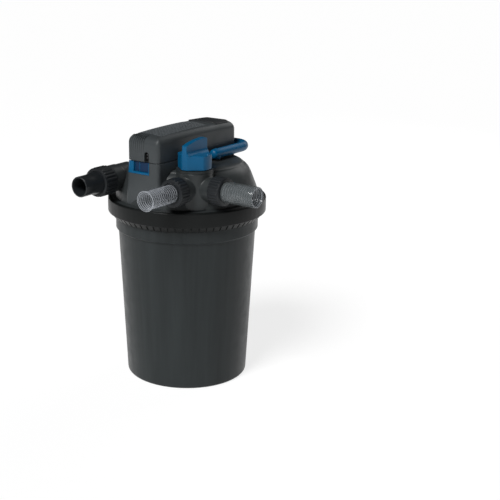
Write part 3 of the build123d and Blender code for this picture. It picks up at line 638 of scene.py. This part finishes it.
def make_head_cover():
    """Lamp-head cover: upright sides, a fillet that is wider at the ends, and a crowned top."""
    outline = plan()
    outward = normals_of(outline)
    count = len(outline)
    fillet = [12.0 + (6.0 if n.y < 0 else 12.0) * n.y ** 2 for n in outward]
    rings = []
    for rise, inset in ((0.0, 1.0), (0.4, 0.3), (1.2, 0.0), (3.0, 0.0)):
        rings.append([(*(p - n * inset), HEAD_LOW.z + rise) for p, n in zip(outline, outward)])
    for k in range(9):
        a = math.radians(90) * k / 8
        ring = []
        for p, n, r in zip(outline, outward, fillet):
            x, y = p - n * r * (1 - math.cos(a))
            ring.append((x, y, crown_z(x, y) - r * (1 - math.sin(a))))
        rings.append(ring)
    edge = rings[-1]
    for k in range(1, 9):
        t = k / 8
        ring = []
        for x, y, _ in edge:
            spine = min(max(y, HEAD_FRONT + 45.0), HEAD_REAR - 45.0)
            nx, ny = x * (1 - t), y + (spine - y) * t
            ring.append((nx, ny, crown_z(nx, ny)))
        rings.append(ring)
    inner = []
    for z in (HEAD_TOP - 12.0, HEAD_LOW.z):
        inner.append([(*(p - n * 4.0), z) for p, n in zip(outline, outward)])
    points = [p for ring in rings for p in ring]
    faces = ring_faces(len(rings), count)
    base = len(points)
    points += [p for ring in inner for p in ring]
    faces += [tuple(base + i for i in face) for face in ring_faces(2, count)]
    faces.append(tuple(base + i for i in range(count)))
    foot = base + count
    faces += [(foot + i, foot + (i + 1) % count, (i + 1) % count, i) for i in range(count)]
    cover = add_piece("head_shell", points, faces, "uvc_head", ("head_cover",), 50.0)
    weld = cover.modifiers.new("spine", "WELD")
    weld.merge_threshold = 0.02 * MM
    evaluated(cover)
    face_outwards(cover.data)
    cut_slot(cover)
    paint(cover, "head_plastic")


def cut_slot(cover):
    """Rounded-top slot in the front of the cover, beside the latch."""
    outline = rounded([(5.0, 540.0, 0), (18.0, 540.0, 0), (18.0, 574.5, 6.4), (5.0, 574.5, 6.4)], 10.0)
    points = [(x, y, z) for y in (-185.0, -159.5) for x, z in outline]
    mesh = bpy.data.meshes.new("slot_cutter")
    mesh.from_pydata([Vector(p) * MM for p in points], [], prism_faces(len(outline)))
    face_outwards(mesh)
    cutter = bpy.data.objects.new("slot_cutter", mesh)
    bpy.context.scene.collection.objects.link(cutter)
    cut = cover.modifiers.new("slot", "BOOLEAN")
    cut.operation = "DIFFERENCE"
    cut.object = cutter
    cut.solver = "EXACT"
    evaluated(cover)
    bpy.data.objects.remove(cutter)
    cover.data.shade_smooth()
    cover.data.set_sharp_from_angle(angle=math.radians(40))


def make_front_ribs():
    """Fine upright ribs that run down from the head's front edge and fade out half way."""
    half, bend = 0.95, 18          # half a rib's width, and the radius of the head's front edge
    points, faces = [], []
    for k in range(FRONT_RIBS):
        x = -38.0 + RIB_PITCH * k
        path = []
        for j in range(9):
            a = math.radians(90) * j / 8
            y = HEAD_FRONT + bend * (1 - math.sin(a))
            path.append((y, crown_z(x, y) - bend * (1 - math.cos(a)), math.sin(a), math.cos(a), 1.0))
        for z, height in ((585.0, 0.9), (576.0, 0.6), (568.0, 0.02)):
            path.append((HEAD_FRONT, z, 1.0, 0.0, height))
        base = len(points)
        for y, z, out_y, out_z, height in path:
            for dx, lift in ((-half, -0.3), (-half * 0.5, 0.8), (half * 0.5, 0.8), (half, -0.3)):
                up = lift * height if lift > 0 else lift
                points.append((x + dx, y - out_y * up, z + out_z * up))
        faces += [tuple(base + i for i in face) for face in ring_faces(len(path), 4)]
        faces.append((base, base + 3, base + 2, base + 1))
        end = base + (len(path) - 1) * 4
        faces.append((end, end + 1, end + 2, end + 3))
    paint(add_piece("front_ribs", points, faces, "uvc_head"), "head_plastic")


def make_grip_tiles():
    """Staggered brick pattern moulded into the front of the head's top; the tiles' lighter grey is a painted
    highlight of the lit top, and the darker head plastic in the grooves reads as painted shade.
    """
    low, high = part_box("top_grip_panel")
    front, rear, half = low.y / MM, high.y / MM, high.x / MM
    across, along, groove = 5.0, 10.0, 1.3
    points, faces = [], []
    columns = int(2 * half / across)
    for column in range(columns):
        x = -half + across * (column + 0.5)
        y = front + (0.0 if column % 2 else -along / 2)
        while y < rear:
            x0, x1 = x - across / 2 + groove / 2, x + across / 2 - groove / 2
            y0, y1 = max(front, y + groove / 2), min(rear, y + along - groove / 2)
            if y1 - y0 > 2.0:
                base = len(points)
                for inset, lift in ((0.0, -0.4), (0.2, 0.6), (0.7, 0.9)):
                    for px, py in ((x0 + inset, y0 + inset), (x1 - inset, y0 + inset),
                                   (x1 - inset, y1 - inset), (x0 + inset, y1 - inset)):
                        points.append((px, py, crown_z(px, py) + lift))
                faces += [tuple(base + i for i in face) for face in ring_faces(3, 4)]
                faces.append((base + 8, base + 9, base + 10, base + 11))
                faces.append((base + 3, base + 2, base + 1, base))
            y += along
    tiles = add_piece("grip_tiles", points, faces, "uvc_head", ("top_grip_panel",), 25.0)
    paint(tiles, "tile_plastic_painted_light")


def make_rear_plate():
    """Low service plate at the rear of the top, with an arched front edge and a sunk border."""
    half, front, rear, thick = 42.0, 52.0, 118.0, 2.6
    outline = [Vector((half * math.sin(math.radians(a)), front + 9.0 * (1 - math.cos(math.radians(a)))))
               for a in range(-90, 91, 6)]
    outline += rounded([(half, front + 14.0, 0), (half - 1.0, rear, 14.0), (-half + 1.0, rear, 14.0),
                        (-half, front + 14.0, 0)], 9.0)
    count = len(outline)
    centre = Vector((0.0, (front + rear) / 2))
    points = []
    for share, lift in ((1.0, -0.6), (1.0, thick - 1.0), (0.988, thick - 0.2), (0.97, thick),
                        (0.6, thick + 0.1), (0.3, thick + 0.1)):
        for p in outline:
            x, y = centre.lerp(p, share)
            points.append((x, y, crown_z(x, y) + lift))
    faces = ring_faces(6, count)
    faces.append(tuple(5 * count + i for i in range(count)))
    faces.append(tuple(reversed(range(count))))
    piece = add_piece("rear_plate", points, faces, "uvc_head", ("rear_cover_plate",), 40.0)
    face_outwards(piece.data)
    paint(piece, "plate_plastic")


# ---- foam stack ----
def make_foam_discs():
    """Six open-cell discs round the centre tube, softly rounded and a little uneven at their rims."""
    bore, rim = 41.8, 137.6
    for name, node, material in (("coarse_discs", "coarse_foams", "coarse_foam"),
                                 ("fine_discs", "fine_foams", "fine_foam")):
        low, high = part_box(node)
        points, faces = [], []
        pitch = (high.z - low.z) / MM / 3
        for k in range(3):
            z0 = low.z / MM + pitch * k + 0.4
            z1 = z0 + pitch - 0.8
            outline = rounded([(bore, z0, 3.0), (rim, z0, 7.0), (rim, z1, 7.0), (bore, z1, 3.0)], 15.0)
            ring_points, ring_quads = turned_mesh(outline, 144)
            waved = []
            for x, y, z in ring_points:
                wave = 1.0 - 0.004 * (1 + math.sin(11 * math.atan2(y, x) + k)) * (math.hypot(x, y) > 100)
                waved.append((x * wave, y * wave, z))
            gather(points, faces, waved, [face[::-1] for face in ring_quads])
        discs = add_piece(name, points, faces, "lid", (node,), 50.0)
        paint(discs, material)
        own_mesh(discs)


# ---- blue pieces ----
def make_handle():
    """U-shaped pull bar, a little flattened, with swollen ends over the lift rods."""
    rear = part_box("pull_handle")[1].y / MM - 12.0
    bend = 38.0
    sides = 28
    corner = rounded([(-ROD_X, 0, 0), (-ROD_X, rear, bend), (ROD_X, rear, bend), (ROD_X, 0, 0)], 6.0)[1:-1]
    path = [Vector((-ROD_X, ROD_Y + reach)) for reach in (-10.0, 12.0, 50.0)]
    path += corner
    path += [Vector((ROD_X, ROD_Y + reach)) for reach in (50.0, 12.0, -10.0)]
    sections = []
    for i, p in enumerate(path):
        along = (path[min(i + 1, len(path) - 1)] - path[max(i - 1, 0)]).normalized()
        sections.append((p, Vector((along.y, -along.x)), along, 1.0))
    first, last = sections[0], sections[-1]
    cap = [(0.0, 7.4), (0.45, 6.6), (0.75, 4.8), (0.93, 2.4)]
    sections = ([(first[0] - first[2] * reach, first[1], first[2], size) for size, reach in cap]
                + sections
                + [(last[0] + last[2] * reach, last[1], last[2], size) for size, reach in reversed(cap)])
    points = []
    for p, side, _, size in sections:
        for k in range(sides):
            a = 2 * math.pi * k / sides
            flat = 11.4 * size * math.cos(a)
            tall = 11.8 * size * math.sin(a)
            points.append((p.x + side.x * flat, p.y + side.y * flat, BAR_Z + tall))
    bar = add_piece("handle_bar", points, ring_faces(len(sections), sides), "puller",
                    ("pull_handle",), 60.0)
    paint(bar, "blue_plastic")
    for side in (-1, 1):
        boss = rounded([(4.2, 536.0, 0), (10.4, 536.0, 1.2), (10.8, BAR_Z, 0), (4.2, BAR_Z, 0)])
        points, faces = turned_mesh(boss, 48)
        points = [(x + side * ROD_X, y + ROD_Y, z) for x, y, z in points]
        paint(add_piece(f"handle_boss_{side + 1}", points, faces, "puller"), "blue_plastic")


def make_handle_plugs():
    """Blue plugs that close the screw holes over the lift rods, and dark guides under them."""
    points, faces = [], []
    for side in (-1, 1):
        outline = rounded([(AXIS, 557.0, 0), (4.1, 557.0, 0), (4.1, 560.0, 0.8), (AXIS, 560.2, 0)])
        plug_points, plug_faces = turned_mesh(outline, 32)
        moved = [(x + side * ROD_X, y + ROD_Y, z) for x, y, z in plug_points]
        gather(points, faces, moved, plug_faces)
    plugs = add_piece("handle_plugs", points, faces, "puller", ("handle_screws",))
    paint(plugs, "blue_plastic")
    paint(frame["nodes"]["rod_guides"], "black_plastic")


def make_latch_recess():
    """Dark navy sheet laid in the latch's recess as painted shade, with one thin upright rib."""
    for name, x0, x1, y0, y1, material in (
            # the navy sheet is painted shade in the recess; the rib keeps the latch's blue
            ("latch_recess_shade", -26.4, 16.0, -160.6, -159.4, "navy_recess_shade"),
            ("latch_rib", -12.6, -11.4, -161.3, -160.0, "blue_plastic")):
        outline = [Vector((x0, y0)), Vector((x1, y0)), Vector((x1, y1)), Vector((x0, y1))]
        make_prism(name, outline, 526.6, 549.0, "latch", material, 0.3)


def make_slot_lining():
    """Near-black sheet behind the slot in the head's front, painted shade for the dark inside of the head,
    with two small lenses.
    """
    outline = [Vector((2.0, -160.6)), Vector((21.0, -160.6)), Vector((21.0, -159.2)), Vector((2.0, -159.2))]
    make_prism("slot_shade_sheet", outline, 552.5, 578.0, "uvc_head", "slot_painted_shade", 0.2,
               replaces=("indicator_window",))
    sides, lens_r, lens_x = 20, 1.9, 11.5
    turns = [2 * math.pi * a / sides for a in range(sides)]
    outline = [Vector((lens_r * math.cos(a), lens_r * math.sin(a))) for a in turns]
    faces = ring_faces(3, sides) + [tuple(range(2 * sides, 3 * sides))]
    for index, z in enumerate((561.0, 568.0)):
        points = [(lens_x + r * p.x, y, z + r * p.y)
                  for y, r in ((-160.4, 1.0), (-161.6, 1.0), (-162.0, 0.8)) for p in outline]
        lens = add_piece(f"slot_lens_{index}", points, faces, "uvc_head")
        paint(lens, "lens_plastic")


# ---- all pieces, in order ----
make_camera()
make_container()
make_clamp_ring()
make_ring_ears()
make_dome()
make_unions()
make_head_cover()
make_front_ribs()
make_grip_tiles()
make_rear_plate()
make_handle()
make_handle_plugs()
make_latch_recess()
make_slot_lining()
make_foam_discs()
for node, body, name, slot, voxel, passes, material in (
        ("rotary_knob", "valve", "knob_grip", "blue_plastic", 0.6, 4, "blue_plastic"),
        ("latch_button", "latch", "latch_plate", "blue_plastic", 0.5, 4, "blue_plastic"),
        ("valve_housing", "lid", "valve_body", "anthracite_plastic", 1.0, 14, "lid_plastic"),
        ("inlet_port", "lid", "inlet_body", "anthracite_plastic", 1.0, 6, "lid_plastic"),
        ("head_base", "lid", "base_block", "head_plastic", 0.9, 4, "head_plastic"),
        ("clamp_lever", "lever", "lever_grip", "black_plastic", 0.6, 5, "black_plastic")):
    paint(softened(node, body, name, voxel, passes), material)


# ---- floor and light ----
def make_stage():
    """Pale floor that glows a little, a soft key sun from the front and a dim rim light."""
    floor_mesh = bpy.data.meshes.new("floor")
    far = 60                       # metres
    floor_mesh.from_pydata([(-far, -far, 0), (far, -far, 0), (far, far, 0), (-far, far, 0)], [],
                           [(0, 1, 2, 3)])
    floor = bpy.data.objects.new("floor", floor_mesh)
    bpy.context.scene.collection.objects.link(floor)
    material, _, shader = nodes_of("floor")
    shader.inputs["Base Color"].default_value = (0.25, 0.25, 0.25, 1)
    shader.inputs["Roughness"].default_value = 0.8
    shader.inputs["Specular IOR Level"].default_value = 0.1
    shader.inputs["Emission Color"].default_value = (1, 1, 1, 1)
    shader.inputs["Emission Strength"].default_value = 0.80
    floor_mesh.materials.append(material)
    bpy.context.scene.world = make_studio()
    add_area("rim", (0.2, 2.7, 1.9), (0, 0, 0.5), 2.0, 17)
    sun = bpy.data.lights.new("key", "SUN")
    sun.energy = 3.3
    sun.angle = math.radians(24)
    holder = bpy.data.objects.new("key", sun)
    bpy.context.scene.collection.objects.link(holder)
    azimuth, height = math.radians(4), math.radians(46)
    towards = Vector((math.sin(azimuth) * math.cos(height), -math.cos(azimuth) * math.cos(height),
                      math.sin(height)))
    holder.rotation_euler = towards.to_track_quat("Z", "Y").to_euler()


def make_studio():
    """Soft surroundings, bright at the front left and dim at the right."""
    world = bpy.data.worlds.new("studio")
    world.use_nodes = True
    tree = world.node_tree
    place = tree.nodes.new("ShaderNodeTexCoord")
    facing = tree.nodes.new("ShaderNodeVectorMath")
    facing.operation = "DOT_PRODUCT"
    facing.inputs[1].default_value = (-0.62, -0.76, 0.2)
    link(tree, place.outputs["Generated"], facing.inputs[0])
    spread = tree.nodes.new("ShaderNodeMapRange")
    spread.inputs["From Min"].default_value = -0.6
    spread.inputs["From Max"].default_value = 0.8
    spread.inputs["To Min"].default_value = 0.10
    spread.inputs["To Max"].default_value = 0.62
    link(tree, facing.outputs["Value"], spread.inputs["Value"])
    link(tree, spread.outputs["Result"], tree.nodes["Background"].inputs["Strength"])
    return world


def add_area(name, place, target, size, power):
    """Square lamp at a place, aimed at a target."""
    lamp = bpy.data.lights.new(name, "AREA")
    lamp.size = size
    lamp.energy = power
    holder = bpy.data.objects.new(name, lamp)
    bpy.context.scene.collection.objects.link(holder)
    holder.location = place
    holder.rotation_euler = (Vector(target) - Vector(place)).to_track_quat("-Z", "Y").to_euler()


make_stage()
bpy.context.scene.view_settings.view_transform = "Standard"
